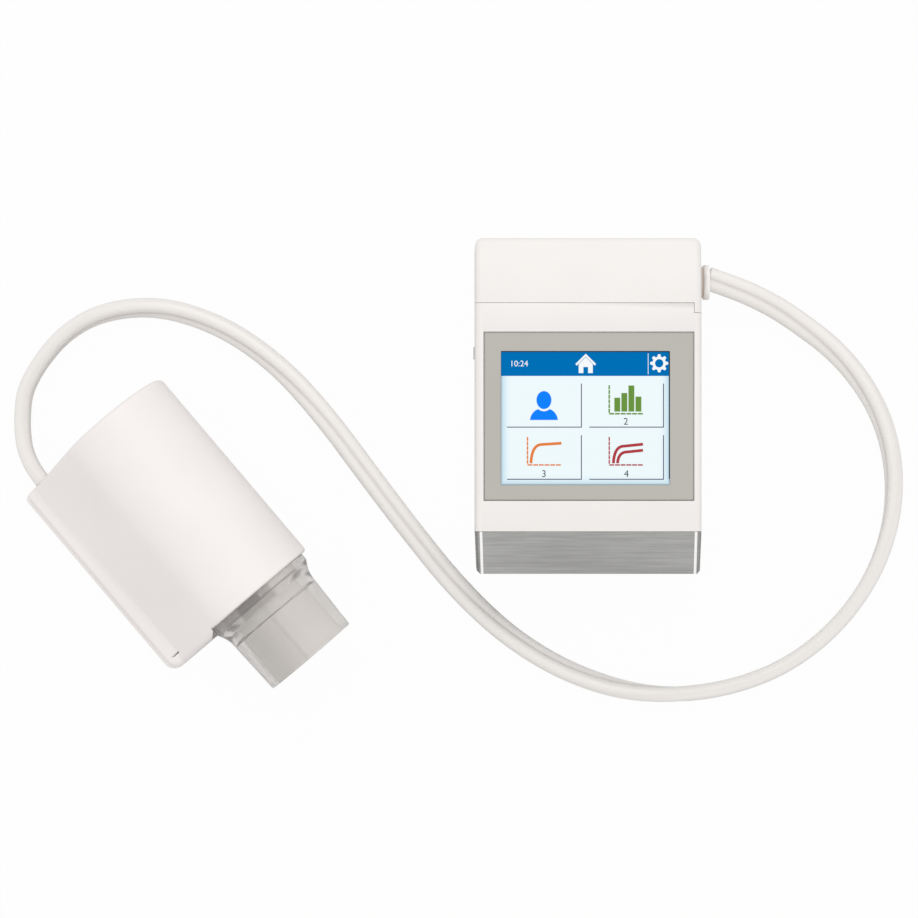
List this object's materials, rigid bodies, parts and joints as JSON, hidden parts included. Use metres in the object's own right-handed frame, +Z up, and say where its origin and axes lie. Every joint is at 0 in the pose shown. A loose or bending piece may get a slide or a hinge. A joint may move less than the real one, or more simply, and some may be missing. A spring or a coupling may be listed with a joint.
{
  "type": "spirometer",
  "caption": "Hand-held spirometer recorder with touch screen, joined by a soft twin tube to a flow head with a capillary element and a plug-in mouthpiece adapter.",
  "frame": {"origin": "middle of the ground that the recorder and the flow head cover together, on the table they lie on", "axes": "+X to the right across the pair, from the flow head to the recorder; +Y towards the recorder's top end; +Z up, out of the recorder's screen"},
  "size_m": [0.3347, 0.1719, 0.047],
  "materials": {
    "white_shell": "fine satin texture",
    "brushed_band": "brushed along the band",
    "panel_surround": "smooth, printed from behind",
    "display": "lit display",
    "sheet_steel": "rolled",
    "circuit_board": "solder mask",
    "black_parts": "moulded",
    "soft_tube": "soft, slightly see-through",
    "grey_connector": "moulded",
    "plug_grey": "soft, matt",
    "bright_metal": "plated",
    "button_grey": "fine satin texture",
    "cell_jacket": "printed jacket",
    "screw_steel": "plated",
    "dark_rubber": "matt",
    "head_shell": "fine satin texture",
    "sleeve_grey": "moulded",
    "foil": "rolled foil",
    "screen_steel": "perforated sheet",
    "clear_grey": "polished, see-through"
  },
  "bodies": {
    "devices": {"rear_case": "white_shell", "front_case": "white_shell", "base_trim": "brushed_band", "touch_panel": "panel_surround", "display_module": "display", "display_frame": "sheet_steel", "main_board": "circuit_board", "board_components": "black_parts", "port_board": "circuit_board", "pressure_sensor": "black_parts", "sensor_tubes": "soft_tube", "tube_socket": "grey_connector", "tube_plug": "plug_grey", "twin_tube": "soft_tube", "usb_socket": "bright_metal", "buzzer": "black_parts", "power_switch": "black_parts", "battery_cells": "cell_jacket", "battery_contacts": "bright_metal", "case_screws": "screw_steel", "rubber_feet": "dark_rubber", "flowhead_cover": "head_shell", "flowhead_base": "head_shell", "flowhead_screws": "screw_steel", "element_sleeve": "sleeve_grey", "sleeve_seals": "dark_rubber", "fleisch_element": "foil", "spacer_rings": "sleeve_grey", "inlet_screen": "screen_steel", "outlet_screen": "screen_steel", "tube_grommet": "plug_grey", "port_hoses": "soft_tube"},
    "power_key": {"power_button": "button_grey"},
    "mouth_adapter": {"mouthpiece_adapter": "clear_grey", "adapter_seal": "dark_rubber"},
    "cell_door": {"battery_door": "white_shell"},
    "air_guard": {"exhaust_guard": "head_shell"}
  },
  "joints": [
    {"name": "power_key_press", "type": "slide", "parent": "devices", "child": "power_key", "axis": [1, 0, 0], "range_m": [0, 0.0006], "stiffness_N_per_m": 1500},
    {"name": "adapter_pull", "type": "slide", "parent": "devices", "child": "mouth_adapter", "axis": [0.6468, -0.7627, 0], "range_m": [0, 0.035]},
    {"name": "guard_pull", "type": "slide", "parent": "devices", "child": "air_guard", "axis": [-0.6468, 0.7627, 0], "range_m": [0, 0.02]},
    {"name": "cell_door_slide", "type": "slide", "parent": "devices", "child": "cell_door", "axis": [0, -1, 0], "range_m": [0, 0.006]}
  ]
}
